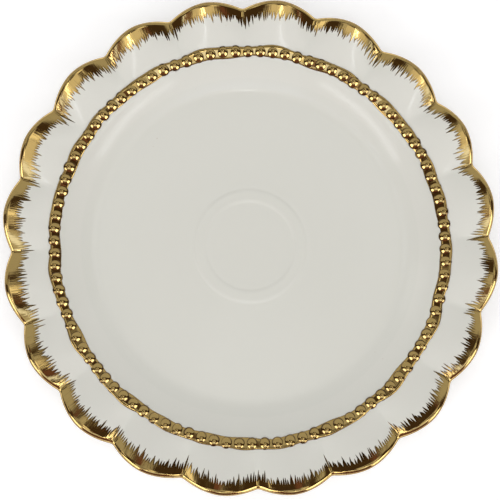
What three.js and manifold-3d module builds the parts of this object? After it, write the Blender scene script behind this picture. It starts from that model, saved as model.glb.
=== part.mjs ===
// A round serving plate in white glazed ceramic. Twenty puffed petals make the rim, a gilded lip runs round them,
// and a ring of gilded beads runs between them and the well. Millimetres, +Z up, standing on its foot at z = 0.
import * as THREE from 'three';
import { mergeVertices } from 'three/addons/utils/BufferGeometryUtils.js';
import Module from 'manifold-3d';

const wasm = await Module();
wasm.setup();

// The body, in millimetres and degrees
const tipRadius = 152.5; // from the axis to a petal's tip
const wall = 5; // thickness of the clay, and of the rolled lip
const wellRadius = 93.5; // the flat floor of the well
const shoulderRadius = 20; // the curve from the floor up into the wall, where there is room for it
const shoulderGap = 2; // at least this much plain wall between that curve and the rim
const wallSlope = 23; // of the wall, from that curve to the rim
const rimSlope = 15; // of the beading and of a petal's middle

// The petals
const petalCount = 20;
const firstNotch = 1.7; // degrees from +X to a notch between two petals
const notchDepth = 4.5; // how far the notches stand in from the tips
const valleyDrop = 6; // how far the lip sinks from a tip to a notch
const petalRoot = 115; // the radius where the petals begin to swell
const petalGrowth = 1.3; // 1 swells them evenly outward, more swells them late
const petalRoundness = 1.8; // 1 gives each petal a pointed tip, 2 a round one

// The gilding
const giltThickness = 0.5;
const giltReach = 8; // from a tip inward, over the top
const giltUnderReach = 3.5; // from a tip inward, under the lip
const seatGap = 0.3; // between the gilding or beading and the clay

// The beading
const beadCount = 98;
const firstBead = 2.4; // degrees from +X to a bead
const bandRadius = 117.4; // the inner edge of the gilded ground
const bandWidth = 7.5; // the ground, measured in plan
const beadLength = 6.4; // along the band
const beadWidth = 7; // across the band, in plan
const beadHeight = 1.6; // above the ground

// The rings under the plate
const footHeight = 4;
const footRadius = 88; // the middle of the ring
const footTread = 4.5; // its width on the table
const footRoot = 8; // its width at the body
const supportRadius = 31.5;
const supportTread = 4;
const supportRoot = 7;
const supportLift = 0.4; // the support ring stays this far off the table

// Facets
const stepsPerPetal = 6;
const shoulderSteps = 3;
const lipSteps = 4;
const footSteps = 96;
const supportSteps = 64;
const beadSides = 8;
const beadRings = 2;

const rad = THREE.MathUtils.degToRad;
const seatDepth = giltThickness + seatGap;
const petalPitch = 360 / petalCount;
const beadPitch = 360 / beadCount;

// A point on a line that leaves start at a slope, at a radius, raised square to the line by lift.
function onSlope(start, slope, radius, lift) {
  const angle = rad(slope);
  const height = start.y + (radius - start.x) * Math.tan(angle);
  return new THREE.Vector2(radius - lift * Math.sin(angle), height + lift * Math.cos(angle));
}

// A point at a radius from the origin, in a direction in degrees.
function around(radius, direction) {
  return new THREE.Vector2(radius * Math.cos(rad(direction)), radius * Math.sin(rad(direction)));
}

// Points on an arc round a centre, from one direction to another, both in degrees.
function arc(centre, radius, from, to, steps) {
  const points = [];
  for (let step = 0; step <= steps; step += 1) {
    points.push(around(radius, THREE.MathUtils.lerp(from, to, step / steps)).add(centre));
  }
  return points;
}

// The section through the middle of a petal: shoulder, wall, bend at the beading's inner edge, rim and lip
const wellTop = footHeight + wall;
const bandInner = bandRadius - seatGap;
const bandOuter = bandRadius + bandWidth + seatGap;
const shoulderRoom = (bandInner - shoulderGap - wellRadius) / Math.sin(rad(wallSlope));
const shoulderCurve = Math.min(shoulderRadius, shoulderRoom);
const shoulderCentre = new THREE.Vector2(wellRadius, wellTop + shoulderCurve);
const shoulder = arc(shoulderCentre, shoulderCurve, -90, wallSlope - 90, shoulderSteps);
const shoulderEnd = shoulder[shoulderSteps];
const bend = onSlope(shoulderEnd, wallSlope, bandInner, 0);
const onRim = (radius, lift) => onSlope(bend, rimSlope, radius, lift);
const lipRadius = wall / 2;
const lipCentre = onRim(tipRadius - lipRadius - lipRadius * Math.sin(rad(rimSlope)), -lipRadius);
const lipArc = (lift) => arc(lipCentre, lipRadius + lift, 90 + rimSlope, rimSlope - 90, lipSteps);
const lipUnder = lipArc(0)[lipSteps];
const underRim = (radius, lift) => onSlope(lipUnder, rimSlope, radius, lift);
const giltEdge = tipRadius - giltReach;
const giltUnderEdge = tipRadius - giltUnderReach;

// The bend of the underside lies square below the bend above it, halfway between the two slopes.
function underBend() {
  const halfway = rad((wallSlope + rimSlope) / 2);
  const drop = wall / Math.cos(rad((wallSlope - rimSlope) / 2));
  return new THREE.Vector2(bend.x + drop * Math.sin(halfway), bend.y - drop * Math.cos(halfway));
}

// Swells the petals: towards each notch the clay is drawn in and sinks, more so the nearer it is to the rim.
function swell(point) {
  const radius = Math.hypot(point.x, point.y);
  const angle = Math.atan2(point.y, point.x);
  const turns = (THREE.MathUtils.radToDeg(angle) - firstNotch) / petalPitch;
  const fromTip = Math.abs(2 * THREE.MathUtils.euclideanModulo(turns, 1) - 1);
  const growth = Math.max(0, (radius - petalRoot) / (tipRadius - petalRoot)) ** petalGrowth;
  const fold = growth * fromTip ** petalRoundness;
  const drawnIn = radius - notchDepth * fold;
  point.set(drawnIn * Math.cos(angle), drawnIn * Math.sin(angle), point.z - valleyDrop * fold);
}

// Moves every vertex of a geometry by a function that changes the vertex it is given.
function reshape(geometry, move) {
  const position = geometry.getAttribute('position');
  const point = new THREE.Vector3();
  for (let index = 0; index < position.count; index += 1) {
    point.fromBufferAttribute(position, index);
    move(point);
    position.setXYZ(index, point.x, point.y, point.z);
  }
  geometry.computeVertexNormals();
  return geometry;
}

// Turns a section about +Z, with one of its steps at the first notch.
function turned(section, steps) {
  const geometry = new THREE.LatheGeometry(section, steps);
  geometry.rotateX(Math.PI / 2);
  geometry.rotateZ(rad(firstNotch));
  return geometry;
}

function plateBody() {
  const axisTop = new THREE.Vector2(0, wellTop);
  const axisBelow = new THREE.Vector2(0, footHeight);
  const beadSeat = [
    bend,
    onRim(bandInner, -seatDepth),
    onRim(bandOuter, -seatDepth),
    onRim(bandOuter, 0),
  ];
  const petal = [
    onRim((bandOuter + giltEdge) / 2, 0),
    onRim(giltEdge - seatGap, 0),
    onRim(giltEdge - seatGap, -seatDepth),
  ];
  const underLip = [
    underRim(giltUnderEdge - seatGap, seatDepth),
    underRim(giltUnderEdge - seatGap, 0),
  ];
  const underShoulder = arc(shoulderCentre, shoulderCurve + wall, wallSlope - 90, -90, shoulderSteps);
  const section = [
    axisTop,
    ...shoulder,
    ...beadSeat,
    ...petal,
    ...lipArc(-seatDepth),
    ...underLip,
    underBend(),
    ...underShoulder,
    axisBelow,
  ];
  return reshape(turned(section.reverse(), petalCount * stepsPerPetal), swell);
}

function giltLip() {
  const outside = [onRim(giltEdge, 0), ...lipArc(0), underRim(giltUnderEdge, 0)];
  const inside = [
    onRim(giltEdge, -giltThickness),
    ...lipArc(-giltThickness),
    underRim(giltUnderEdge, giltThickness),
  ];
  const section = [...inside, ...outside.reverse(), inside[0]];
  return reshape(turned(section, petalCount * stepsPerPetal), swell);
}

// A ring under the body, wider at its root than on its tread.
function underRing(radius, tread, root, bottom, steps) {
  const section = [
    new THREE.Vector2(radius - root / 2, footHeight),
    new THREE.Vector2(radius - tread / 2, bottom),
    new THREE.Vector2(radius + tread / 2, bottom),
    new THREE.Vector2(radius + root / 2, footHeight),
    new THREE.Vector2(radius - root / 2, footHeight),
  ];
  return turned(section, steps);
}

// A solid for joining, from a closed geometry.
function solid(geometry) {
  const bare = geometry.clone();
  bare.deleteAttribute('normal');
  bare.deleteAttribute('uv');
  const merged = mergeVertices(bare);
  const vertProperties = new Float32Array(merged.getAttribute('position').array);
  const triVerts = new Uint32Array(merged.getIndex().array);
  return new wasm.Manifold(new wasm.Mesh({ numProp: 3, vertProperties, triVerts }));
}

function geometryOf(joined) {
  const { vertProperties, triVerts } = joined.getMesh();
  const geometry = new THREE.BufferGeometry();
  geometry.setAttribute('position', new THREE.BufferAttribute(vertProperties, 3));
  geometry.setIndex(new THREE.BufferAttribute(triVerts, 1));
  return geometry;
}

// One bead on the flat, rooted inside the ground that it stands on.
function bead(angle) {
  const root = -giltThickness / 2;
  const section = [new THREE.Vector2(0, root), new THREE.Vector2(1, root)];
  for (let ring = 0; ring <= beadRings; ring += 1) {
    const lift = (ring / beadRings) * (Math.PI / 2);
    section.push(new THREE.Vector2(Math.cos(lift), beadHeight * Math.sin(lift)));
  }
  const geometry = new THREE.LatheGeometry(section, beadSides);
  geometry.rotateX(Math.PI / 2);
  geometry.scale(beadWidth / 2, beadLength / 2, 1);
  geometry.translate(bandRadius + bandWidth / 2, 0, 0);
  geometry.rotateZ(rad(angle));
  return geometry;
}

// The gilded ground of a strip on the flat, between two angles, faceted as its seat in the body is.
function ground(from, to) {
  const margin = THREE.MathUtils.radToDeg(seatGap / 2 / bandRadius);
  const bodyStep = petalPitch / stepsPerPetal;
  const first = Math.ceil((from + 2 * margin - firstNotch) / bodyStep);
  const last = Math.floor((to - 2 * margin - firstNotch) / bodyStep);
  const angles = [from + margin];
  for (let step = first; step <= last; step += 1) {
    angles.push(firstNotch + step * bodyStep);
  }
  angles.push(to - margin);
  const steps = angles.length - 1;
  const strip = new THREE.BoxGeometry(steps, bandWidth, giltThickness, steps, 1, 1);
  strip.translate(-steps / 2, bandRadius + bandWidth / 2, -giltThickness / 2);
  return reshape(strip, (point) => {
    const place = around(point.y, angles[Math.round(-point.x)]);
    point.set(place.x, place.y, point.z);
  });
}

// Lays what was made on the flat onto the sloping rim, then swells it with the petals.
function layOnRim(point) {
  const angle = Math.atan2(point.y, point.x);
  const place = onRim(Math.hypot(point.x, point.y), point.z);
  point.set(place.x * Math.cos(angle), place.x * Math.sin(angle), place.y);
  swell(point);
}

// The beads whose middles lie on one petal, joined by their ground.
function beading(petal) {
  const notch = firstNotch + petal * petalPitch;
  const first = Math.ceil((notch - firstBead) / beadPitch);
  const next = Math.ceil((notch + petalPitch - firstBead) / beadPitch);
  const angleOf = (index) => firstBead + index * beadPitch;
  let joined = solid(ground(angleOf(first - 0.5), angleOf(next - 0.5)));
  for (let index = first; index < next; index += 1) {
    joined = joined.add(solid(bead(angleOf(index))));
  }
  return reshape(geometryOf(joined), layOnRim);
}

const glaze = new THREE.MeshStandardMaterial({ color: 0xe4e2da, roughness: 0.12, metalness: 0 });
const clay = new THREE.MeshStandardMaterial({ color: 0xd9cdb8, roughness: 0.85, metalness: 0 });
const gold = new THREE.MeshStandardMaterial({ color: 0xc9a14a, roughness: 0.16, metalness: 1 });

const plate = new THREE.Group();

function addPart(name, geometry, material) {
  const mesh = new THREE.Mesh(geometry, material.clone());
  mesh.name = name;
  plate.add(mesh);
}

addPart('plate_body', plateBody(), glaze);
addPart('foot_ring', underRing(footRadius, footTread, footRoot, 0, footSteps), clay);
addPart('support_ring', underRing(supportRadius, supportTread, supportRoot, supportLift, supportSteps), clay);
addPart('gilt_lip', giltLip(), gold);
for (let petal = 0; petal < petalCount; petal += 1) {
  const number = String(petal + 1).padStart(2, '0');
  addPart(`beading_${number}`, beading(petal), gold);
}

export default plate;
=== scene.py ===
"""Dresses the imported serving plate: white glaze, bare clay, gold lustre and a plain studio round it.

Everything is in metres, with +Z up, the plate's foot on z = 0 and its axis on the origin. Every piece
follows one shape, PlateForm, which has the sizes of the solids in the frame and finer curves.
"""

from __future__ import annotations

import logging
import math
from collections.abc import Mapping, Sequence
from dataclasses import dataclass
from enum import Enum

import bpy
import numpy as np
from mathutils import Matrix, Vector


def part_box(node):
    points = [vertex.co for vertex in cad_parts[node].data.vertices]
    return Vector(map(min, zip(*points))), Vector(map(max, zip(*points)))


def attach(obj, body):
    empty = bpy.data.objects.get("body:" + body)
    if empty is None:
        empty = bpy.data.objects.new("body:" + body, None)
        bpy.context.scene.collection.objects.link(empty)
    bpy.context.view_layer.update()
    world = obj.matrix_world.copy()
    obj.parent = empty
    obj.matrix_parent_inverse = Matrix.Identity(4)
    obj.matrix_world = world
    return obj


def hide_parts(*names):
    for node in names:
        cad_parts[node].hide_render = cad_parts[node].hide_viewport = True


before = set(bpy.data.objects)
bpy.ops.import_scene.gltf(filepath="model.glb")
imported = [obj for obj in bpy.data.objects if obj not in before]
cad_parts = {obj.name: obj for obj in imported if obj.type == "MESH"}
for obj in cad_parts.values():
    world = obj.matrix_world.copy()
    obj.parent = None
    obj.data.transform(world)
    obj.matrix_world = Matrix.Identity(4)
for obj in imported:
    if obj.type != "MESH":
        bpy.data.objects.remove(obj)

log = logging.getLogger("serving_plate")

Colour = tuple[float, float, float, float]
Point = tuple[float, float, float]
Span = tuple[float, float]
# The height, the count and the start of a sine wave round the plate.
Wave = tuple[float, float, float]
# Anything that a node's settings and sockets take.
Setting = object


class Slot(Enum):
    """The material slots of the part's record."""

    GLAZE = "glaze"
    BARE_CLAY = "bare_clay"
    GOLD = "gold"


class Trace(Enum):
    """The attributes that pieces carry for their materials and node trees."""

    POOL = "glaze_pool"
    # Darkens the gold: real thin brushwork, and painted shade on the beads and round the lip.
    THIN_GOLD_AND_SHADE = "thin_gold_and_shade"
    ALONG = "seat_along"
    NORMAL = "seat_normal"
    STRETCH = "stroke_stretch"


# Node sheets


class Wire:
    """One output socket of a node sheet. Arithmetic on it adds Math nodes to the sheet."""

    def __init__(self, sheet: NodeSheet, socket: bpy.types.NodeSocket) -> None:
        """Wraps a socket of the sheet."""
        self.sheet = sheet
        self.socket = socket

    def other(self, name: str) -> Wire:
        """Another output of the same node, by its name."""
        return Wire(self.sheet, find_socket(self.socket.node.outputs, name))

    def __add__(self, term: Wire | float) -> Wire:
        """This plus a term."""
        return self.sheet.math("ADD", self, term)

    def __radd__(self, term: float) -> Wire:
        """A number plus this."""
        return self.sheet.math("ADD", term, self)

    def __sub__(self, term: Wire | float) -> Wire:
        """This less a term."""
        return self.sheet.math("SUBTRACT", self, term)

    def __rsub__(self, term: float) -> Wire:
        """A number less this."""
        return self.sheet.math("SUBTRACT", term, self)

    def __mul__(self, term: Wire | float) -> Wire:
        """This times a term."""
        return self.sheet.math("MULTIPLY", self, term)

    def __rmul__(self, term: float) -> Wire:
        """A number times this."""
        return self.sheet.math("MULTIPLY", term, self)

    def __truediv__(self, term: Wire | float) -> Wire:
        """This divided by a term."""
        return self.sheet.math("DIVIDE", self, term)

    def __rtruediv__(self, term: float) -> Wire:
        """A number divided by this."""
        return self.sheet.math("DIVIDE", term, self)

    def __pow__(self, power: float) -> Wire:
        """This to a power."""
        return self.sheet.math("POWER", self, power)

    def step(self, low: float, high: float) -> Wire:
        """A smooth step from 0 at low to 1 at high."""
        span = {"Value": self, "From Min": low, "From Max": high}
        return self.sheet.node("ShaderNodeMapRange", {"interpolation_type": "SMOOTHSTEP"}, span)


def find_socket(sockets: Sequence[bpy.types.NodeSocket], key: str | int) -> bpy.types.NodeSocket:
    """Finds a socket in use.

    Args:
        sockets: A node's inputs or outputs.
        key: The socket's name, or its place among them.

    Returns:
        The socket, which is the first of that name that the node's settings leave in use.
    """
    if isinstance(key, int):
        return sockets[key]
    return next(socket for socket in sockets if socket.enabled and socket.name == key)


class NodeSheet:
    """A node tree that is written from top to bottom."""

    def __init__(self, tree: bpy.types.NodeTree) -> None:
        """Empties the tree."""
        self.tree = tree
        self.tree.nodes.clear()

    def node(
        self,
        kind: str,
        settings: Mapping[str, Setting] | None = None,
        sockets: Mapping[str | int, Setting] | None = None,
        output: str | int = 0,
    ) -> Wire:
        """Adds one node.

        Args:
            kind: The node's type.
            settings: Its own settings, which are set first.
            sockets: The values or wires of its inputs, by name or place.
            output: The output to return, by name or place.

        Returns:
            That output, or the node's first input where it has no outputs.
        """
        node = self.tree.nodes.new(kind)
        for name, value in (settings or {}).items():
            setattr(node, name, value)
        for key, value in (sockets or {}).items():
            socket = find_socket(node.inputs, key)
            if isinstance(value, Wire):
                self.tree.links.new(value.socket, socket)
            else:
                socket.default_value = value
        return Wire(self, find_socket(node.outputs or node.inputs, output))

    def math(self, operation: str, *terms: Wire | float) -> Wire:
        """Adds a Math node, given its operation and its inputs in order."""
        return self.node("ShaderNodeMath", {"operation": operation}, dict(enumerate(terms)))

    def vector(self, operation: str, *terms: Wire | Sequence[float], **sockets: Setting) -> Wire:
        """Adds a Vector Math node.

        Args:
            operation: The node's operation.
            terms: Its vectors in order.
            sockets: Its other inputs by name.

        Returns:
            The node's result, a number for LENGTH and DOT_PRODUCT.
        """
        output = "Value" if operation in ("LENGTH", "DOT_PRODUCT") else "Vector"
        inputs = {**dict(enumerate(terms)), **sockets}
        return self.node("ShaderNodeVectorMath", {"operation": operation}, inputs, output)

    def mix(self, share: Wire | float, first: Wire | Colour, second: Wire | Colour) -> Wire:
        """Mixes two colours, from the first at a share of 0 to the second at 1."""
        sockets = {"Factor": share, "A": first, "B": second}
        return self.node("ShaderNodeMix", {"data_type": "RGBA"}, sockets, "Result")

    def noise(self, place: Wire, scale: float, detail: float = 2.0) -> Wire:
        """Noise from 0 to 1, given its features to the unit and how many finer layers it has."""
        sockets = {"Vector": place, "Scale": scale, "Detail": detail}
        return self.node("ShaderNodeTexNoise", None, sockets, "Fac")

    def attribute(self, kind: Trace) -> Wire:
        """An attribute of the piece, as a number."""
        return self.node("ShaderNodeAttribute", {"attribute_name": kind.value}, output="Fac")

    def bump(self, height: Wire, distance: float, strength: float = 1.0) -> Wire:
        """The normal of a surface that rises by a distance where the height is 1."""
        sockets = {"Height": height, "Strength": strength, "Distance": distance}
        return self.node("ShaderNodeBump", None, sockets, "Normal")

    def cover(self, sockets: Mapping[str, Setting]) -> None:
        """Ends a material's sheet with one Principled shader, given the values of its sockets."""
        surface = self.node("ShaderNodeBsdfPrincipled", None, sockets)
        self.node("ShaderNodeOutputMaterial", None, {"Surface": surface})


def new_material(name: str) -> tuple[bpy.types.Material, NodeSheet]:
    """Makes a material.

    Args:
        name: Its name.

    Returns:
        The material and its empty node sheet.
    """
    material = bpy.data.materials.new(name)
    material.use_nodes = True
    return material, NodeSheet(material.node_tree)


# Finishes


@dataclass(frozen=True)
class Glaze:
    """White glaze that pools in the creases and thins over the edges."""

    pooled: Colour = (0.772, 0.776, 0.708, 1.0)
    thin: Colour = (0.795, 0.793, 0.727, 1.0)
    pool_share: float = 0.75
    cloud_share: float = 0.5
    depth_span: Span = (0.1, 1.0)
    cloud_scale: float = 26.0
    speck: Colour = (0.50, 0.42, 0.31, 1.0)
    speck_share: float = 0.55
    speck_scale: float = 420.0
    speck_span: Span = (0.74, 0.80)
    patch_scale: float = 78.0
    patch_span: Span = (0.52, 0.62)
    roughness: float = 0.07
    cloud_roughness: float = 0.05
    refraction: float = 1.5
    ripple_scale: float = 48.0
    ripple_height: float = 0.00006

    def material(self) -> bpy.types.Material:
        """Builds the finish.

        Returns:
            The material.
        """
        material, sheet = new_material("white_glaze")
        place = sheet.node("ShaderNodeTexCoord", output="Object")
        cloud = sheet.noise(place, self.cloud_scale, detail=3.0)
        depth = sheet.attribute(Trace.POOL) * self.pool_share + cloud * self.cloud_share
        colour = sheet.mix(depth.step(*self.depth_span), self.thin, self.pooled)
        grain = sheet.noise(place, self.speck_scale)
        patchy = sheet.noise(place, self.patch_scale)
        specks = grain.step(*self.speck_span) * patchy.step(*self.patch_span)
        ripple = sheet.noise(place, self.ripple_scale, detail=1.0)
        sheet.cover(
            {
                "Base Color": sheet.mix(specks * self.speck_share, colour, self.speck),
                "Roughness": self.roughness + cloud * self.cloud_roughness,
                "IOR": self.refraction,
                "Normal": sheet.bump(ripple, self.ripple_height),
            }
        )
        return material


@dataclass(frozen=True)
class BareClay:
    """Fired clay without glaze, ground smooth on its tread."""

    clay: Colour = (0.72, 0.62, 0.48, 1.0)
    pale: Colour = (0.80, 0.73, 0.61, 1.0)
    pale_span: Span = (0.3, 0.7)
    cloud_scale: float = 60.0
    iron: Colour = (0.33, 0.20, 0.11, 1.0)
    iron_share: float = 0.7
    iron_span: Span = (0.64, 0.74)
    roughness: float = 0.78
    cloud_roughness: float = 0.2
    grit_scale: float = 900.0
    grit_height: float = 0.00012
    grit_strength: float = 0.8

    def material(self) -> bpy.types.Material:
        """Builds the finish.

        Returns:
            The material.
        """
        material, sheet = new_material("bare_clay")
        place = sheet.node("ShaderNodeTexCoord", output="Object")
        cloud = sheet.noise(place, self.cloud_scale, detail=4.0)
        grit = sheet.noise(place, self.grit_scale, detail=3.0)
        colour = sheet.mix(cloud.step(*self.pale_span), self.clay, self.pale)
        sheet.cover(
            {
                "Base Color": sheet.mix(grit.step(*self.iron_span) * self.iron_share, colour, self.iron),
                "Roughness": self.roughness + cloud * self.cloud_roughness,
                "Normal": sheet.bump(grit, self.grit_height, self.grit_strength),
            }
        )
        return material


@dataclass(frozen=True)
class GoldLustre:
    """Gold painted over the glaze by hand: bright where it lies thick, browner where the brush left it thin
    and where painted shade is laid on.
    """

    thick: Colour = (0.93, 0.665, 0.245, 1.0)
    # The colour of thin gold, and also of the painted shade in the beads' crevices and round the lip's under
    # side.
    thin: Colour = (0.20, 0.125, 0.065, 1.0)
    darkening_share: float = 0.75
    streak_share: float = 0.3
    streak_span: Span = (0.45, 0.85)
    cloud_share: float = 0.15
    cloud_span: Span = (0.5, 0.9)
    cloud_scale: float = 130.0
    streaks_round_rim: float = 150.0
    streaks_outward: float = 95.0
    streak_scale: float = 1.1
    streak_height: float = 0.00003
    roughness: float = 0.035
    streak_roughness: float = 0.04
    darkening_roughness: float = 0.08

    def material(self) -> bpy.types.Material:
        """Builds the finish, whose brush streaks run out from the axis.

        Returns:
            The material.
        """
        material, sheet = new_material("gold_lustre")
        place = sheet.node("ShaderNodeTexCoord", output="Object")
        plan = sheet.vector("MULTIPLY", place, (1.0, 1.0, 0.0))
        outward = sheet.vector("LENGTH", plan) * self.streaks_outward
        around = sheet.vector("SCALE", sheet.vector("NORMALIZE", plan), Scale=self.streaks_round_rim)
        lift = sheet.node("ShaderNodeCombineXYZ", None, {"Z": outward})
        streaks = sheet.noise(sheet.vector("ADD", around, lift), self.streak_scale, detail=3.0)
        cloud = sheet.noise(place, self.cloud_scale)
        # The attribute darkens the gold: thin brushwork, and painted shade in the beads' crevices and round
        # the lip's under side.
        dry_gold_and_shade = sheet.attribute(Trace.THIN_GOLD_AND_SHADE)
        thinness_and_shade = dry_gold_and_shade * self.darkening_share + streaks.step(*self.streak_span) * self.streak_share
        thinness_and_shade = thinness_and_shade + cloud.step(*self.cloud_span) * self.cloud_share
        rough = self.roughness + streaks * self.streak_roughness + dry_gold_and_shade * self.darkening_roughness
        sheet.cover(
            {
                "Base Color": sheet.mix(thinness_and_shade.step(0.0, 1.0), self.thick, self.thin),
                "Metallic": 1.0,
                "Roughness": rough,
                "Normal": sheet.bump(streaks, self.streak_height),
            }
        )
        return material


# Shapes


def section(radius: np.ndarray, height: np.ndarray) -> np.ndarray:
    """Puts radius and height on one last axis."""
    return np.stack([radius, height], axis=-1)


def waves(angle: np.ndarray, parts: Sequence[Wave]) -> np.ndarray:
    """The sum of some waves round the plate."""
    return sum(height * np.sin(count * angle + start) for height, count, start in parts)


def unit(vectors: np.ndarray) -> np.ndarray:
    """Vectors brought to a length of 1."""
    return vectors / np.linalg.norm(vectors, axis=-1, keepdims=True)


@dataclass(frozen=True)
class PlateForm:
    """The shape that every piece of the plate follows, in metres and radians."""

    tip_radius: float = 0.1525
    wall: float = 0.005
    well_radius: float = 0.0935
    shoulder_radius: float = 0.020
    wall_slope: float = math.radians(23.0)
    rim_slope: float = math.radians(15.0)
    petals: int = 20
    first_notch: float = math.radians(1.7)
    notch_depth: float = 0.0045
    notch_crowding: float = 0.65
    valley_drop: float = 0.006
    petal_root: float = 0.115
    growth: float = 1.3
    roundness: float = 1.8
    crease: float = 0.035
    band_radius: float = 0.1174
    band_width: float = 0.0075
    seat_gap: float = 0.0003
    foot_height: float = 0.004
    rim_wander: float = 0.000175
    rim_waves: tuple[Wave, ...] = ((1.0, 5.0, 0.7), (0.8, 9.0, 2.1))
    notch_wander: float = math.radians(0.175)
    notch_waves: tuple[Wave, ...] = ((1.0, 4.0, 1.9), (0.7, 7.0, 0.3))
    oval: float = 0.0075
    oval_axis: float = math.radians(119.0)

    @property
    def pitch(self) -> float:
        """The angle from one notch to the next."""
        return 2.0 * math.pi / self.petals

    @property
    def well_top(self) -> float:
        """The height of the well's floor."""
        return self.foot_height + self.wall

    @property
    def lip_radius(self) -> float:
        """The rounding of the lip."""
        return self.wall / 2.0

    @property
    def lip_start(self) -> float:
        """The radius where the petal's top runs into the lip's rounding."""
        return self.tip_radius - self.lip_radius * (1.0 + math.sin(self.rim_slope))

    @property
    def bend_radius(self) -> float:
        """The radius of the bend between the wall and the rim."""
        return self.band_radius - self.seat_gap

    @property
    def bend_height(self) -> float:
        """The height of the plate's top at that bend."""
        start = self.shoulder_arc(np.array(self.wall_slope), 0.0)
        return start[1] + (self.bend_radius - start[0]) * math.tan(self.wall_slope)

    def angles(self, steps_per_petal: int) -> np.ndarray:
        """Angles round the plate, closer together near the notches.

        Args:
            steps_per_petal: How many fall on each petal.

        Returns:
            The angles, from the first notch on.
        """
        even = np.linspace(-1.0, 1.0, steps_per_petal, endpoint=False)
        crowded = np.sin(even * math.pi / 2.0)
        spread = (1.0 - self.notch_crowding) * even + self.notch_crowding * crowded
        petals = np.arange(self.petals)[:, None]
        return (self.first_notch + (petals + (spread + 1.0) / 2.0) * self.pitch).ravel()

    def fold(self, angle: np.ndarray) -> np.ndarray:
        """How far a place is folded down, from 0 at a petal's middle to 1 in a crease.

        Args:
            angle: Angles round the plate.

        Returns:
            The fold at each angle, rounded at the bottom of the crease.
        """
        turns = (angle - self.first_notch) / self.pitch
        from_tip = np.abs(2.0 * np.mod(turns, 1.0) - 1.0)
        over = np.maximum(from_tip - (1.0 - 2.0 * self.crease), 0.0)
        eased = from_tip - over**2 / (4.0 * self.crease)
        return (eased / (1.0 - self.crease)) ** self.roundness

    def swelling(self, radius: np.ndarray) -> np.ndarray:
        """How much of the petals' swelling a radius has, from 0 inside their roots to 1 at the tips."""
        outward = (radius - self.petal_root) / (self.tip_radius - self.petal_root)
        return np.maximum(outward, 0.0) ** self.growth

    def swell(self, radius: np.ndarray, angle: np.ndarray, height: np.ndarray) -> np.ndarray:
        """Draws a turned shape in and down towards the notches, with the unevenness of handwork.

        Args:
            radius: Radii before the petals swell.
            angle: Angles round the plate.
            height: Heights before the petals swell.

        Returns:
            Points, with x, y and z on the last axis.
        """
        swelling = self.swelling(radius)
        fold = swelling * self.fold(angle)
        oval = 1.0 + self.oval * np.cos(2.0 * (angle - self.oval_axis))
        uneven = self.rim_wander * waves(angle, self.rim_waves) * swelling
        reach = radius * oval - self.notch_depth * fold + uneven
        turned = angle + self.notch_wander * waves(angle, self.notch_waves) * swelling
        drop = self.valley_drop * fold
        return np.stack([reach * np.cos(turned), reach * np.sin(turned), height - drop], axis=-1)

    def shoulder_arc(self, slope: np.ndarray, depth: float) -> np.ndarray:
        """The section round the shoulder between the well and the wall.

        Args:
            slope: The slope at each point.
            depth: How far it lies inside the body.

        Returns:
            Radius and height on the last axis.
        """
        reach = self.shoulder_radius + depth
        middle = self.well_top + self.shoulder_radius
        return section(self.well_radius + reach * np.sin(slope), middle - reach * np.cos(slope))

    def rim_line(self, radius: np.ndarray, lift: float | np.ndarray = 0.0) -> np.ndarray:
        """The section along the rim, through the middle of a petal.

        Args:
            radius: Radii along it.
            lift: How far to stand off it.

        Returns:
            Radius and height on the last axis.
        """
        height = self.bend_height + (radius - self.bend_radius) * math.tan(self.rim_slope)
        return section(
            radius - lift * math.sin(self.rim_slope), height + lift * math.cos(self.rim_slope)
        )

    def lip_arc(self, steps: int, lift: float = 0.0) -> np.ndarray:
        """The section round the lip, from above to below.

        Args:
            steps: How many steps it has.
            lift: How far to stand off it.

        Returns:
            Radius and height on the last axis.
        """
        centre = self.rim_line(np.array(self.lip_start), -self.lip_radius)
        turn = np.linspace(math.pi / 2.0, -math.pi / 2.0, steps + 1) + self.rim_slope
        reach = self.lip_radius + lift
        return section(centre[0] + reach * np.cos(turn), centre[1] + reach * np.sin(turn))

    def seat(self, angle: np.ndarray, radius: np.ndarray, lift: float | np.ndarray = 0.0) -> np.ndarray:
        """Points on the petals' top, or a lift above it."""
        line = self.rim_line(radius, lift)
        return self.swell(line[..., 0], angle, line[..., 1])


def link(name: str, data: bpy.types.ID) -> bpy.types.Object:
    """Makes an object in the scene.

    Args:
        name: Its name.
        data: Its mesh, light or camera.

    Returns:
        The object.
    """
    item = bpy.data.objects.new(name, data)
    bpy.context.scene.collection.objects.link(item)
    return item


def skin(name: str, grid: np.ndarray, tube: bool, finish: bpy.types.Material) -> bpy.types.Object:
    """Skins rings of points that run round the axis.

    Args:
        name: The new object's name.
        grid: Points by ring, then by step round the axis. Each ring closes on itself.
        tube: Joins the last ring to the first where true, and closes both ends with a pole where false.
        finish: Its material.

    Returns:
        A smooth, closed mesh object with its faces outward.
    """
    rings, steps, _ = grid.shape
    points = grid.reshape(-1, 3)
    first = np.arange(rings if tube else rings - 1)[:, None] * steps
    second = (first + steps) % (rings * steps)
    here = np.arange(steps)[None, :]
    there = (here + 1) % steps
    quads = np.stack([first + here, second + here, second + there, first + there], axis=-1)
    faces = quads.reshape(-1, 4).tolist()
    if not tube:
        start, end = len(points), len(points) + 1
        last = (rings - 1) * steps
        points = np.concatenate([points, grid[:1].mean(axis=1), grid[-1:].mean(axis=1)])
        for step in range(steps):
            after = (step + 1) % steps
            faces.append([start, step, after])
            faces.append([end, last + after, last + step])
    mesh = bpy.data.meshes.new(name)
    mesh.from_pydata(points.tolist(), [], faces)
    mesh.polygons.foreach_set("use_smooth", [True] * len(mesh.polygons))
    mesh.update()
    mesh.materials.append(finish)
    return link(name, mesh)


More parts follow.
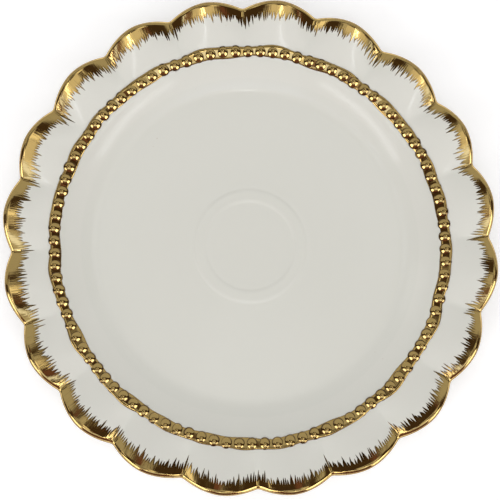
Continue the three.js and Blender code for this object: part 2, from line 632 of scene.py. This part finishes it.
def trace(piece: bpy.types.Object, kind: Trace, values: np.ndarray) -> None:
    """Writes one attribute of a piece.

    Args:
        piece: A mesh object.
        kind: Which attribute.
        values: A number or a vector for each vertex.
    """
    vectors = values.ndim == 2
    attribute = piece.data.attributes.new(kind.value, "FLOAT_VECTOR" if vectors else "FLOAT", "POINT")
    attribute.data.foreach_set("vector" if vectors else "value", values.astype(np.float32).ravel())


def enlist(piece: bpy.types.Object, nodes: Sequence[str]) -> None:
    """Rides a finished piece on the plate's one body.

    Args:
        piece: The piece.
        nodes: The solids that it stands for, if any.
    """
    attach(piece, "root")
    if nodes:
        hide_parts(*nodes)
    log.info("%s: %d faces, for %s", piece.name, len(piece.data.polygons), ", ".join(nodes) or "no solid")


class NodeTool:
    """A Geometry Nodes tree with named inputs that sets one shape on each point of an object."""

    socket_types: Mapping[type, str] = {
        float: "NodeSocketFloat",
        int: "NodeSocketInt",
        bpy.types.Material: "NodeSocketMaterial",
    }

    def __init__(self, name: str, values: Mapping[str, Setting]) -> None:
        """Starts the tree.

        Args:
            name: The tree's name.
            values: The value of each input after the geometry, by its name.
        """
        self.tree = bpy.data.node_groups.new(name, "GeometryNodeTree")
        self.values = values
        ports = self.tree.interface
        ports.new_socket("Geometry", in_out="INPUT", socket_type="NodeSocketGeometry")
        self.identifiers: dict[str, str] = {}
        for label, value in values.items():
            port = ports.new_socket(label, in_out="INPUT", socket_type=self.socket_types[type(value)])
            self.identifiers[label] = port.identifier
        ports.new_socket("Geometry", in_out="OUTPUT", socket_type="NodeSocketGeometry")
        self.sheet = NodeSheet(self.tree)
        self.start = self.sheet.node("NodeGroupInput", output="Geometry")

    def given(self, label: str) -> Wire:
        """One of the named inputs."""
        return self.start.other(label)

    def place(self) -> tuple[Wire, Wire, Wire]:
        """Reads where the points of the geometry at hand are.

        Returns:
            Their x, y and z.
        """
        position = self.sheet.node("GeometryNodeInputPosition")
        split = self.sheet.node("ShaderNodeSeparateXYZ", None, {"Vector": position}, "X")
        return split, split.other("Y"), split.other("Z")

    def shaped(self, geometry: Wire, x: Wire, y: Wire, z: Wire) -> Wire:
        """Moves each point of a geometry to a new x, y and z."""
        position = self.sheet.node("ShaderNodeCombineXYZ", None, {"X": x, "Y": y, "Z": z})
        return self.sheet.node("GeometryNodeSetPosition", None, {"Geometry": geometry, "Position": position})

    def stored(self, geometry: Wire, kind: Trace, value: Wire) -> Wire:
        """Writes a number to each point of a geometry."""
        sockets = {"Geometry": geometry, "Name": kind.value, "Value": value}
        return self.sheet.node("GeometryNodeStoreNamedAttribute", {"data_type": "FLOAT"}, sockets)

    def traced(self, kind: Trace, data_type: str) -> Wire:
        """Reads an attribute of each point, a FLOAT or a FLOAT_VECTOR."""
        settings, sockets = {"data_type": data_type}, {"Name": kind.value}
        return self.sheet.node("GeometryNodeInputNamedAttribute", settings, sockets, "Attribute")

    def chance(self, low: Wire | float, high: Wire | float, salt: int) -> Wire:
        """A random number from low to high for each point, whose salt is added to the tree's seed."""
        sockets = {"Min": low, "Max": high, "Seed": self.given("Seed") + salt}
        return self.sheet.node("FunctionNodeRandomValue", {"data_type": "FLOAT"}, sockets, "Value")

    def seat(self) -> Wire:
        """Lays a shape along its seat.

        Returns:
            The turn that brings its X axis inward and its Z axis square to the glaze.
        """
        turn = None
        for axis, kind in (("X", Trace.ALONG), ("Z", Trace.NORMAL)):
            settings = {"axis": axis, "pivot_axis": "AUTO" if turn is None else "X"}
            aligned = {"Vector": self.traced(kind, "FLOAT_VECTOR")}
            if turn is not None:
                aligned["Rotation"] = turn
            turn = self.sheet.node("FunctionNodeAlignRotationToVector", settings, aligned)
        return turn

    def end(self, shape: Wire, sizes: Mapping[str, Setting], turns: Mapping[str, Wire]) -> None:
        """Ends the tree: copies of a shape on the points become real and get the given material.

        Args:
            shape: The shape.
            sizes: Its scale along X, Y and Z.
            turns: Its turns on its seat, about any of X, Y and Z.
        """
        sheet = self.sheet
        euler = sheet.node("ShaderNodeCombineXYZ", None, turns)
        turn = sheet.node("FunctionNodeEulerToRotation", None, {"Euler": euler})
        both = {"Rotation": self.seat(), "Rotate By": turn}
        seat = sheet.node("FunctionNodeRotateRotation", {"rotation_space": "LOCAL"}, both)
        scale = sheet.node("ShaderNodeCombineXYZ", None, sizes)
        laid = {"Points": self.start, "Instance": shape, "Rotation": seat, "Scale": scale}
        copies = sheet.node("GeometryNodeInstanceOnPoints", None, laid)
        solid = sheet.node("GeometryNodeRealizeInstances", None, {"Geometry": copies})
        finish = {"Geometry": solid, "Material": self.given("Material")}
        dressed = sheet.node("GeometryNodeSetMaterial", None, finish)
        sheet.node("NodeGroupOutput", None, {"Geometry": dressed})

    def run(self, piece: bpy.types.Object) -> None:
        """Runs the tree on a piece and keeps the result as its plain mesh.

        Args:
            piece: The object whose mesh is the tree's geometry.
        """
        modifier = piece.modifiers.new(self.tree.name, "NODES")
        modifier.node_group = self.tree
        for label, value in self.values.items():
            modifier[self.identifiers[label]] = value
        bpy.context.view_layer.update()
        evaluated = piece.evaluated_get(bpy.context.evaluated_depsgraph_get())
        mesh = bpy.data.meshes.new_from_object(evaluated)
        piece.modifiers.remove(modifier)
        bare = piece.data
        mesh.name = piece.name
        piece.data = mesh
        bpy.data.meshes.remove(bare)


def seats(
    name: str, form: PlateForm, angle: np.ndarray, radius: np.ndarray, lift: float
) -> bpy.types.Object:
    """Sets loose points on the rim for a node tree to work on.

    Args:
        name: The new object's name.
        form: The plate's shape.
        angle: The angle of each point.
        radius: The radius of each point, before the petals swell.
        lift: How far they stand off the rim.

    Returns:
        An object of points that know which way is inward and which is square to the glaze.
    """
    probe = 0.0004
    turned = probe / radius
    inward = form.seat(angle, radius - probe) - form.seat(angle, radius + probe)
    across = form.seat(angle + turned, radius) - form.seat(angle - turned, radius)
    mesh = bpy.data.meshes.new(name)
    mesh.from_pydata(form.seat(angle, radius, lift).tolist(), [], [])
    piece = link(name, mesh)
    trace(piece, Trace.ALONG, unit(inward))
    trace(piece, Trace.NORMAL, unit(np.cross(across, inward)))
    return piece


# The plate's pieces


@dataclass
class PlateBody:
    """The glazed body: a well with a faint ring in it, a rounded shoulder, petals and a rolled lip."""

    form: PlateForm
    steps_per_petal: int = 24
    arc_steps: int = 17
    wall_steps: int = 16
    rim_steps: int = 28
    lip_steps: int = 14
    under_steps: int = 16
    # The first and last radius of each run of rings across the well, and their number.
    well_runs: tuple[tuple[float, float, int], ...] = (
        (0.002, 0.0235, 6),
        (0.025, 0.038, 27),
        (0.043, 0.0915, 11),
    )
    ring_radius: float = 0.0315
    ring_width: float = 0.0036
    ring_height: float = 0.0005
    ring_squareness: int = 8
    wall_easing: float = math.radians(3.0)
    bend_ease: float = 0.0006
    under_lip: float = 0.001
    under_bend: float = 0.003
    under_well: Span = (0.091, 0.004)
    crease_sharpness: int = 3
    band_pool: float = 0.5
    band_pool_width: float = 0.003
    band_pool_inset: float = 0.001
    well_pool: float = 0.55
    well_pool_reach: float = 0.012
    pole_pool: float = 0.5

    def section_above(self) -> np.ndarray:
        """The section from the axis to the lip, along the top.

        Returns:
            Radius and height on the last axis.
        """
        form = self.form
        well = np.concatenate([np.linspace(*run) for run in self.well_runs])
        across = np.abs(well - self.ring_radius) / self.ring_width
        ring = self.ring_height / (1.0 + across**self.ring_squareness)
        floor = section(well, form.well_top + ring)
        easy_slope = form.wall_slope - self.wall_easing
        shoulder = form.shoulder_arc(np.linspace(0.0, easy_slope, self.arc_steps), 0.0)
        foot_radius, foot_height = shoulder[-1]
        length = form.bend_radius - foot_radius
        climb = form.bend_height - foot_height
        along = np.linspace(0.0, length, self.wall_steps)[1:-1]
        steepening = (climb - length * math.tan(easy_slope)) / length**2
        rise = along * math.tan(easy_slope) + steepening * along**2
        wall = section(foot_radius + along, foot_height + rise)
        rim_start = form.bend_radius + self.bend_ease
        rim = form.rim_line(np.linspace(rim_start, form.lip_start, self.rim_steps, endpoint=False))
        return np.concatenate([floor, shoulder, wall, rim])

    def section_below(self) -> np.ndarray:
        """The section from the lip back to the axis, along the underside.

        Returns:
            Radius and height on the last axis.
        """
        form = self.form
        outer, inner = form.lip_start - self.under_lip, form.bend_radius + self.under_bend
        rim = form.rim_line(np.linspace(outer, inner, self.under_steps), -form.wall)
        shoulder = form.shoulder_arc(np.linspace(form.wall_slope, 0.0, self.arc_steps), form.wall)
        well = np.linspace(*self.under_well, self.under_steps)
        floor = section(well, np.full_like(well, form.foot_height))
        return np.concatenate([rim, shoulder, floor])

    def pool(self, radius: np.ndarray, angle: np.ndarray) -> np.ndarray:
        """How thick the glaze lies, from 0 on the petals' crowns to 1 in their creases.

        Args:
            radius: The radius of each ring of the body.
            angle: The angle of each step round it.

        Returns:
            A number for each vertex, with the two poles last.
        """
        form = self.form
        crease = form.fold(angle) ** self.crease_sharpness * form.swelling(radius)
        from_band = (radius - form.band_radius + self.band_pool_inset) / self.band_pool_width
        at_band = self.band_pool * np.exp(-(from_band**2))
        well = self.well_pool * (radius < form.well_radius + self.well_pool_reach)
        depth = np.clip(crease + at_band + well, 0.0, 1.0)
        return np.concatenate([depth.ravel(), [self.pole_pool, self.pole_pool]])

    def build(self, glaze: bpy.types.Material) -> None:
        """Builds the body.

        Args:
            glaze: Its finish.
        """
        form = self.form
        lip = form.lip_arc(self.lip_steps)
        line = np.concatenate([self.section_above(), lip, self.section_below()])
        radius, height = line[:, :1], line[:, 1:]
        angle = form.angles(self.steps_per_petal)[None, :]
        body = skin("glazed_body", form.swell(radius, angle, height), False, glaze)
        trace(body, Trace.POOL, self.pool(radius, angle))
        enlist(body, ["plate_body"])


@dataclass
class UnderRing:
    """A ring of bare clay under the body, wider at its root and rounded on its tread."""

    name: str
    node: str
    form: PlateForm
    root: float
    lean: float
    rounding: float = 0.0009
    sunk: float = 0.0004
    steps: int = 144
    corner_steps: int = 6
    tread_steps: int = 5
    tread_share: float = 0.8

    def build(self, clay: bpy.types.Material) -> None:
        """Builds the ring to its solid's box.

        Args:
            clay: Its finish.
        """
        low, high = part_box(self.node)
        bottom = float(low[2])
        top = self.form.foot_height + self.sunk
        half = self.root / 2.0
        middle = float(high[0]) - half
        tread = half - self.lean
        turn = np.linspace(0.0, math.pi / 2.0, self.corner_steps)
        corner = tread - self.rounding * (1.0 - np.sin(turn))
        corner_height = bottom + self.rounding * (1.0 - np.cos(turn))
        inside = section(middle - corner, corner_height)[::-1]
        flat = np.linspace(-self.tread_share, self.tread_share, self.tread_steps) * (tread - self.rounding)
        under = section(middle + flat, np.full_like(flat, bottom))
        outside = section(middle + corner, corner_height)
        roots = [[middle + half, top], [middle, top]]
        line = np.concatenate([[[middle - half, top]], inside, under, outside, roots])
        radius, height = line[:, :1], line[:, 1:]
        angle = np.linspace(0.0, 2.0 * math.pi, self.steps, endpoint=False)[None, :]
        points = np.broadcast_arrays(radius * np.cos(angle), radius * np.sin(angle), height)
        ring = skin(self.name, np.stack(points, axis=-1)[::-1], True, clay)
        enlist(ring, [self.node])


@dataclass
class GiltLip:
    """The gilding over the lip: a film of gold, and the brush strokes that feather its inner edge."""

    form: PlateForm
    steps_per_petal: int = 32
    film_steps: int = 9
    lip_steps: int = 16
    under_steps: int = 3
    film: float = 0.00008
    sunk: float = 0.00006
    reach: float = 0.0070
    reach_lean: float = 0.0013
    lean_towards: float = math.radians(165.0)
    reach_wander: float = 0.00025
    reach_waves: tuple[Wave, ...] = ((1.0, 11.0, 0.4), (0.6, 23.0, 1.7), (0.4, 61.0, 2.9))
    under_lip: float = 0.0004
    under_reach: float = 0.0035
    edge_dryness: Span = (0.35, 0.15)
    # Painted shade: from this ring of the film on, round the outer and under side of the lip's roll, the gold
    # is darkened.
    shade_ring: int = 13
    painted_shade_levels: Span = (0.45, 0.8)
    strokes_per_petal: int = 32
    stroke_cells: tuple[int, int, int] = (6, 3, 2)
    stroke_root: float = 0.0009
    stroke_length: Span = (0.0034, 0.0078)
    stroke_width: Span = (0.0011, 0.0018)
    stroke_taper: float = 0.94
    stroke_thickness: float = 0.00012
    stroke_crown: float = 0.12
    stroke_swing: float = math.radians(9.0)
    notch_stretch: float = 0.45
    notch_sharpness: int = 6
    seed: int = 11

    def edge(self, angle: np.ndarray) -> np.ndarray:
        """The film's inner edge.

        Args:
            angle: Angles round the plate.

        Returns:
            Its radius at each angle, before the petals swell.
        """
        wander = self.reach_wander * waves(angle, self.reach_waves)
        lean = self.reach_lean * np.cos(angle - self.lean_towards)
        return self.form.tip_radius - self.reach - lean + wander

    def face(self, angle: np.ndarray, lift: float) -> np.ndarray:
        """One side of the film, from its inner edge over the lip to its edge below.

        Args:
            angle: Angles round the plate.
            lift: How far this side stands off the glaze.

        Returns:
            Points by ring, then by step.
        """
        form = self.form
        share = np.linspace(0.0, 1.0, self.film_steps)[:-1, None]
        start = self.edge(angle)[None, :]
        above = form.rim_line(start + (form.lip_start - start) * share, lift)
        under_edge = form.tip_radius - self.under_reach
        under = np.linspace(form.lip_start - self.under_lip, under_edge, self.under_steps)
        turned = np.concatenate([form.lip_arc(self.lip_steps, lift), form.rim_line(under, -form.wall - lift)])
        line = np.concatenate([above, np.repeat(turned[:, None, :], len(angle), axis=1)])
        return form.swell(line[..., 0], angle[None, :], line[..., 1])

    def build(self, gold: bpy.types.Material) -> None:
        """Builds the film and its strokes.

        Args:
            gold: Their finish.
        """
        angle = self.form.angles(self.steps_per_petal)
        grid = np.concatenate([self.face(angle, self.film), self.face(angle, -self.sunk)[::-1]])
        film = skin("gilt_lip_film", grid, True, gold)
        gold_darkening = np.zeros(grid.shape[:2])
        gold_darkening[0], gold_darkening[1] = self.edge_dryness
        # Painted shade on the lip's outer and under side, from the shade ring on.
        gold_darkening[self.shade_ring - 1], gold_darkening[self.shade_ring :] = self.painted_shade_levels
        trace(film, Trace.THIN_GOLD_AND_SHADE, gold_darkening.ravel())
        enlist(film, ["gilt_lip"])
        self.build_strokes(gold)

    def stroke_tool(self, gold: bpy.types.Material) -> NodeTool:
        """The tree that lays one tapering stroke on each point.

        Args:
            gold: Their finish.

        Returns:
            The tool, with its sizes as named inputs.
        """
        tool = NodeTool(
            "lay_brush_strokes",
            {
                "Shortest": self.stroke_length[0],
                "Longest": self.stroke_length[1],
                "Narrowest": self.stroke_width[0],
                "Widest": self.stroke_width[1],
                "Taper": self.stroke_taper,
                "Thickness": self.stroke_thickness,
                "Crown": self.stroke_crown,
                "Swing": self.stroke_swing,
                "Seed": self.seed,
                "Material": gold,
            },
        )
        sizes = {"Size": (1.0, 1.0, 1.0)}
        cells = {f"Vertices {axis}": count for axis, count in zip("XYZ", self.stroke_cells)}
        bar = tool.sheet.node("GeometryNodeMeshCube", None, {**sizes, **cells}, "Mesh")
        x, y, z = tool.place()
        run = x + 0.5
        taper = 1.0 - run**2.0 * tool.given("Taper")
        crown = 1.0 - (y * 2.0) ** 2.0 * tool.given("Crown")
        blade = tool.shaped(bar, run, y * taper, (z + 0.5) * tool.given("Thickness") * crown)
        along, _, _ = tool.place()
        blade = tool.stored(blade, Trace.THIN_GOLD_AND_SHADE, along)
        longer = tool.given("Longest") - tool.given("Shortest")
        length = tool.given("Shortest") + longer * tool.chance(0.0, 1.0, 0) ** 2.0
        width = tool.chance(tool.given("Narrowest"), tool.given("Widest"), 1)
        swing = tool.chance(0.0 - tool.given("Swing"), tool.given("Swing"), 2)
        stretch = tool.traced(Trace.STRETCH, "FLOAT")
        tool.end(blade, {"X": length * stretch, "Y": width, "Z": 1.0}, {"Z": swing})
        return tool

    def build_strokes(self, gold: bpy.types.Material) -> None:
        """Lays the strokes inward from the film's edge.

        Args:
            gold: Their finish.
        """
        form = self.form
        count = form.petals * self.strokes_per_petal
        angle = np.arange(count) * 2.0 * math.pi / count
        strokes = seats("gilt_brush_strokes", form, angle, self.edge(angle) + self.stroke_root, 0.0)
        stretch = 1.0 + self.notch_stretch * form.fold(angle) ** self.notch_sharpness
        trace(strokes, Trace.STRETCH, stretch)
        self.stroke_tool(gold).run(strokes)
        enlist(strokes, [])


@dataclass
class Beading:
    """The ring of gilded beads on its gilded ground."""

    form: PlateForm
    beads: int = 98
    first_bead: float = math.radians(2.4)
    segments: int = 28
    rings: int = 16
    length: float = 0.0072
    width: float = 0.0076
    height: float = 0.0016
    steepest: float = math.radians(48.0)
    squareness: float = 0.02
    brim: float = 0.01
    sunk: float = 0.15
    # Painted shade: each bead is darkened round its foot, where it meets the ground, over this span of its
    # radius.
    crevice_shade: Span = (0.42, 0.86)
    crevice_shade_strength: float = 1.3
    uneven: float = 0.04
    tilt: float = math.radians(4.0)
    ground_steps: int = 720
    ground_height: float = 0.0007
    ground_lean: float = math.radians(5.0)
    # The ground's section: shares of its width, and of its height there.
    ground_shares: tuple[float, ...] = (0.0, 0.0, 0.03, 0.07, 0.25, 0.5, 0.75, 0.93, 0.97, 1.0, 1.0)
    ground_rises: tuple[float, ...] = (-0.35, 0.3, 0.75, 1.0, 1.0, 1.0, 1.0, 1.0, 0.75, 0.3, -0.35)
    ground_insets: Span = (0.0003, 0.0002)
    edge_wander: float = 0.00055
    inner_waves: tuple[Wave, ...] = ((1.0, 13.0, 1.3), (0.7, 29.0, 0.2))
    outer_waves: tuple[Wave, ...] = ((1.0, 17.0, 2.2), (0.7, 31.0, 1.1))
    ground_dryness: float = 0.1
    edge_dryness: float = 1.6
    seed: int = 5

    def build(self, gold: bpy.types.Material) -> None:
        """Builds the ground and the beads, in their one finish."""
        self.build_ground(gold)
        self.build_beads(gold)

    def build_ground(self, gold: bpy.types.Material) -> None:
        """Builds the ground, a low band whose edges waver as a brush leaves them.

        Args:
            gold: Its finish.
        """
        form = self.form
        angle = np.linspace(0.0, 2.0 * math.pi, self.ground_steps, endpoint=False)
        inset, outset = self.ground_insets
        inner = form.band_radius + inset + self.edge_wander * waves(angle, self.inner_waves)
        band_end = form.band_radius + form.band_width
        outer = band_end - outset + self.edge_wander * waves(angle, self.outer_waves)
        share = np.array(self.ground_shares)[:, None]
        rise = np.array(self.ground_rises)[:, None]
        radius = inner[None, :] + (outer - inner)[None, :] * share
        lean = math.tan(self.ground_lean) * form.band_width * (share - 0.5)
        lift = (self.ground_height + lean) * rise
        ground = skin("gilt_bead_ground", form.seat(angle[None, :], radius, lift), True, gold)
        gold_darkening = self.ground_dryness + self.edge_dryness * (1.0 - rise)
        trace(ground, Trace.THIN_GOLD_AND_SHADE, np.repeat(gold_darkening, self.ground_steps))
        enlist(ground, [])

    def bead_tool(self, gold: bpy.types.Material) -> NodeTool:
        """The tree that sets one domed bead on each point.

        Args:
            gold: Their finish.

        Returns:
            The tool, with its sizes as named inputs.
        """
        tool = NodeTool(
            "set_beads",
            {
                "Length": self.length,
                "Width": self.width,
                "Height": self.height,
                "Steepest": self.steepest,
                "Squareness": self.squareness,
                "Sunk": self.sunk,
                "Uneven": self.uneven,
                "Tilt": self.tilt,
                "Seed": self.seed,
                "Material": gold,
            },
        )
        sheet = tool.sheet
        cells = {"Segments": self.segments, "Rings": self.rings}
        ball = sheet.node("GeometryNodeMeshUVSphere", None, cells, "Mesh")
        x, y, z = tool.place()
        outward = x * x + y * y
        corner = (x * y * 2.0 / outward) ** 2.0
        spread = 1.0 + corner * tool.given("Squareness")
        edge = sheet.math("COSINE", tool.given("Steepest"))
        cap = (1.0 - outward * (1.0 - edge * edge)) ** 0.5
        rise = (cap - edge) / (1.0 - edge)
        above = z.step(-self.brim, self.brim)
        level = rise * above - (1.0 - above) * tool.given("Sunk")
        # Painted shade darkens each bead round its foot.
        crevice_shade = outward.step(*self.crevice_shade) * self.crevice_shade_strength
        ball = tool.stored(ball, Trace.THIN_GOLD_AND_SHADE, crevice_shade)
        half_width = tool.given("Width") * spread * 0.5
        half_length = tool.given("Length") * spread * 0.5
        dome = tool.shaped(ball, x * half_width, y * half_length, level * tool.given("Height"))
        dome = sheet.node("GeometryNodeSetShadeSmooth", None, {"Geometry": dome})
        uneven, tilt = tool.given("Uneven"), tool.given("Tilt")
        sizes = {axis: tool.chance(1.0 - uneven, 1.0 + uneven, salt) for salt, axis in enumerate("XYZ")}
        turns = {axis: tool.chance(0.0 - tilt, tilt, salt) for salt, axis in enumerate("XY", 3)}
        tool.end(dome, sizes, turns)
        return tool

    def build_beads(self, gold: bpy.types.Material) -> None:
        """Sets the beads along the middle of the ground.

        Args:
            gold: Their finish.
        """
        form = self.form
        angle = self.first_bead + np.arange(self.beads) * 2.0 * math.pi / self.beads
        radius = np.full_like(angle, form.band_radius + form.band_width / 2.0)
        beads = seats("gilt_beads", form, angle, radius, self.ground_height / 2.0)
        self.bead_tool(gold).run(beads)
        nodes = sorted(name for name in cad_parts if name.startswith("beading_"))
        enlist(beads, nodes)


# The studio


@dataclass(frozen=True)
class Panel:
    """A panel of the studio's surroundings as the gold reflects it.

    Its sizes are in degrees: where its middle is, half its width, its lower and upper edge, and half
    the width over which its edges fade.
    """

    azimuth: float
    half_width: float
    low: float
    high: float
    colour: Colour
    soft: float = 2.5

    def mask(self, sheet: NodeSheet, level: Wire, height: Wire) -> Wire:
        """Where the panel is seen.

        Args:
            sheet: The world's node sheet.
            level: The direction of view, brought level.
            height: The sine of the direction's elevation.

        Returns:
            1 on the panel and 0 off it.
        """
        turn = math.radians(self.azimuth)
        closeness = sheet.vector("DOT_PRODUCT", level, (math.cos(turn), math.sin(turn), 0.0))
        outside = math.cos(math.radians(self.half_width + self.soft))
        inside = math.cos(math.radians(self.half_width - self.soft))
        under, over = (
            height.step(*(math.sin(math.radians(edge + fade)) for fade in (-self.soft, self.soft)))
            for edge in (self.low, self.high)
        )
        return closeness.step(outside, inside) * under * (1.0 - over)


def grey(level: float) -> Colour:
    """A neutral colour."""
    return level, level, level, 1.0


BOARD = grey(0.35)
DIM = grey(0.42)
BULB = grey(5.0)
GLARE = grey(2.2)
TUBE = grey(3.2)
WINDOW: Colour = (0.62, 0.60, 0.58, 1.0)
GLOW: Colour = (0.92, 0.89, 0.84, 1.0)
DUSK: Colour = (0.17, 0.11, 0.10, 1.0)
CREAM: Colour = (0.86, 0.95, 1.25, 1.0)
GAP: Colour = (0.045, 0.029, 0.018, 1.0)
CURTAIN: Colour = (0.13, 0.06, 0.05, 1.0)


@dataclass
class Studio:
    """The floor, the light and the camera."""

    camera_distance: float = 0.70
    camera_tilt: float = math.radians(5.0)
    view_radius: float = 0.1521
    aim: Point = (0.0001, -0.0040, 0.026)
    sensor_width: float = 36.0
    floor_reach: float = 4.0
    floor_level: float = -0.0002
    floor_white: Colour = grey(0.92)
    floor_glow: float = 0.31
    key_place: Point = (0.0, 0.35, 1.15)
    key_power: float = 4.7
    fill_place: Point = (-0.1, -0.8, 0.9)
    fill_power: float = 4.3
    lamp_width: float = 1.4
    # Later panels hang in front of earlier ones.
    panels: tuple[Panel, ...] = (
        Panel(90.0, 168.0, 79.0, 91.0, BOARD),
        Panel(90.0, 80.0, -4.0, 42.0, BOARD),
        Panel(90.0, 62.0, 40.0, 58.0, BOARD),
        Panel(90.0, 30.0, 56.0, 62.5, BOARD),
        Panel(-15.0, 15.0, 65.5, 70.0, CURTAIN, 1.2),
        Panel(88.0, 12.0, 64.5, 68.0, CURTAIN, 1.2),
        Panel(60.0, 20.0, 67.0, 70.5, DIM, 1.2),
        Panel(90.0, 80.0, 72.0, 82.0, BOARD),
        Panel(-93.0, 48.0, 54.0, 70.0, BOARD),
        Panel(-90.0, 42.0, 69.5, 79.0, WINDOW),
        Panel(-90.0, 100.0, 72.3, 79.0, WINDOW, 1.2),
        Panel(-131.0, 22.0, 57.0, 71.0, DUSK, 1.2),
        Panel(-92.0, 17.0, 71.0, 78.0, GLOW, 4.0),
        Panel(22.0, 17.0, 69.3, 79.0, GLOW, 1.2),
        Panel(180.0, 26.0, 70.3, 79.0, DIM, 1.2),
        Panel(157.0, 9.0, 50.0, 57.5, GLOW, 1.2),
        Panel(211.0, 9.0, 48.0, 59.0, CURTAIN),
        Panel(-90.0, 24.0, 50.0, 61.0, DIM),
        Panel(-90.0, 66.0, 62.3, 65.3, CREAM, 0.8),
        Panel(-88.0, 27.0, 61.0, 68.5, CREAM, 1.2),
        Panel(-48.0, 16.0, 45.0, 58.0, CURTAIN),
        Panel(228.0, 16.0, 45.0, 58.0, CURTAIN),
        Panel(-90.0, 3.0, 73.0, 80.0, BULB, 1.2),
        Panel(-90.0, 44.0, -2.0, 44.0, CURTAIN),
        Panel(-36.0, 19.0, 14.0, 46.0, GLARE),
        Panel(216.0, 19.0, 14.0, 46.0, GLARE),
        Panel(-42.0, 20.0, 55.0, 56.8, TUBE, 0.6),
        Panel(222.0, 20.0, 55.0, 56.8, TUBE, 0.6),
    )

    def build(self) -> None:
        """Builds the studio and points the camera."""
        self.build_floor()
        self.build_world()
        self.build_lamp("key_lamp", self.key_place, self.key_power)
        self.build_lamp("fill_lamp", self.fill_place, self.fill_power)
        self.build_camera()
        bpy.context.scene.view_settings.view_transform = "Standard"

    def build_floor(self) -> None:
        """Lays a white floor that keeps the plate's shadow, and is clear from below to show the foot."""
        mesh = bpy.data.meshes.new("studio_floor")
        sides = ((-1.0, -1.0), (1.0, -1.0), (1.0, 1.0), (-1.0, 1.0))
        corners = [(x * self.floor_reach, y * self.floor_reach, self.floor_level) for x, y in sides]
        mesh.from_pydata(corners, [], [(0, 1, 2, 3)])
        material, sheet = new_material("white_floor")
        ray = sheet.node("ShaderNodeLightPath", output="Is Camera Ray")
        seen = ray + ray.other("Is Glossy Ray") + ray.other("Is Transmission Ray")
        matt = sheet.node("ShaderNodeBsdfDiffuse", None, {"Color": self.floor_white})
        glow = sheet.node("ShaderNodeEmission", None, {"Strength": seen * self.floor_glow})
        both = sheet.node("ShaderNodeAddShader", None, {0: matt, 1: glow})
        below = sheet.node("ShaderNodeNewGeometry", output="Backfacing")
        clear = sheet.node("ShaderNodeBsdfTransparent")
        surface = sheet.node("ShaderNodeMixShader", None, {0: below, 1: both, 2: clear})
        sheet.node("ShaderNodeOutputMaterial", None, {"Surface": surface})
        mesh.materials.append(material)
        floor = link("studio_floor", mesh)

    def build_world(self) -> None:
        """Paints the surroundings that the gold reflects, behind a white that only the camera sees."""
        world = bpy.data.worlds.new("studio")
        world.use_nodes = True
        sheet = NodeSheet(world.node_tree)
        towards = sheet.node("ShaderNodeTexCoord", output="Generated")
        height = sheet.node("ShaderNodeSeparateXYZ", None, {"Vector": towards}, "Z")
        level = sheet.vector("NORMALIZE", sheet.vector("MULTIPLY", towards, (1.0, 1.0, 0.0)))
        colour: Wire | Colour = GAP
        for panel in self.panels:
            colour = sheet.mix(panel.mask(sheet, level, height), colour, panel.colour)
        ray = sheet.node("ShaderNodeLightPath", output="Is Camera Ray")
        seen = sheet.mix(ray, colour, grey(1.0))
        backdrop = sheet.node("ShaderNodeBackground", None, {"Color": seen})
        sheet.node("ShaderNodeOutputWorld", None, {"Surface": backdrop})
        bpy.context.scene.world = world

    def build_lamp(self, name: str, place: Point, power: float) -> None:
        """Hangs one wide soft lamp that looks at the plate and isn't seen in the gold.

        Args:
            name: The lamp's name.
            place: Where it hangs.
            power: Its power in watts.
        """
        light = bpy.data.lights.new(name, "AREA")
        light.shape = "DISK"
        light.size = self.lamp_width
        light.energy = power
        lamp = link(name, light)
        lamp.location = place
        lamp.rotation_euler = (-lamp.location).to_track_quat("-Z", "Y").to_euler()
        lamp.visible_glossy = False

    def build_camera(self) -> None:
        """Points the camera almost straight down, from a little to the front."""
        camera = bpy.data.cameras.new("camera")
        camera.sensor_fit = "HORIZONTAL"
        camera.sensor_width = self.sensor_width
        camera.lens = self.sensor_width / 2.0 * self.camera_distance / self.view_radius
        eye = link("camera", camera)
        back = Vector((0.0, -math.sin(self.camera_tilt), math.cos(self.camera_tilt)))
        eye.location = Vector(self.aim) + back * self.camera_distance
        eye.rotation_euler = back.to_track_quat("Z", "Y").to_euler()
        bpy.context.scene.camera = eye


def main() -> None:
    """Builds the plate's pieces in order, then the studio."""
    logging.basicConfig(level=logging.INFO)
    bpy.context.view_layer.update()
    form = PlateForm()
    glaze = Glaze().material()
    clay = BareClay().material()
    gold = GoldLustre().material()
    PlateBody(form).build(glaze)
    UnderRing("clay_foot_ring", "foot_ring", form, root=0.0080, lean=0.00175).build(clay)
    UnderRing("clay_support_ring", "support_ring", form, root=0.0070, lean=0.0015).build(clay)
    GiltLip(form).build(gold)
    Beading(form).build(gold)
    Studio().build()


if __name__ == "__main__":
    main()
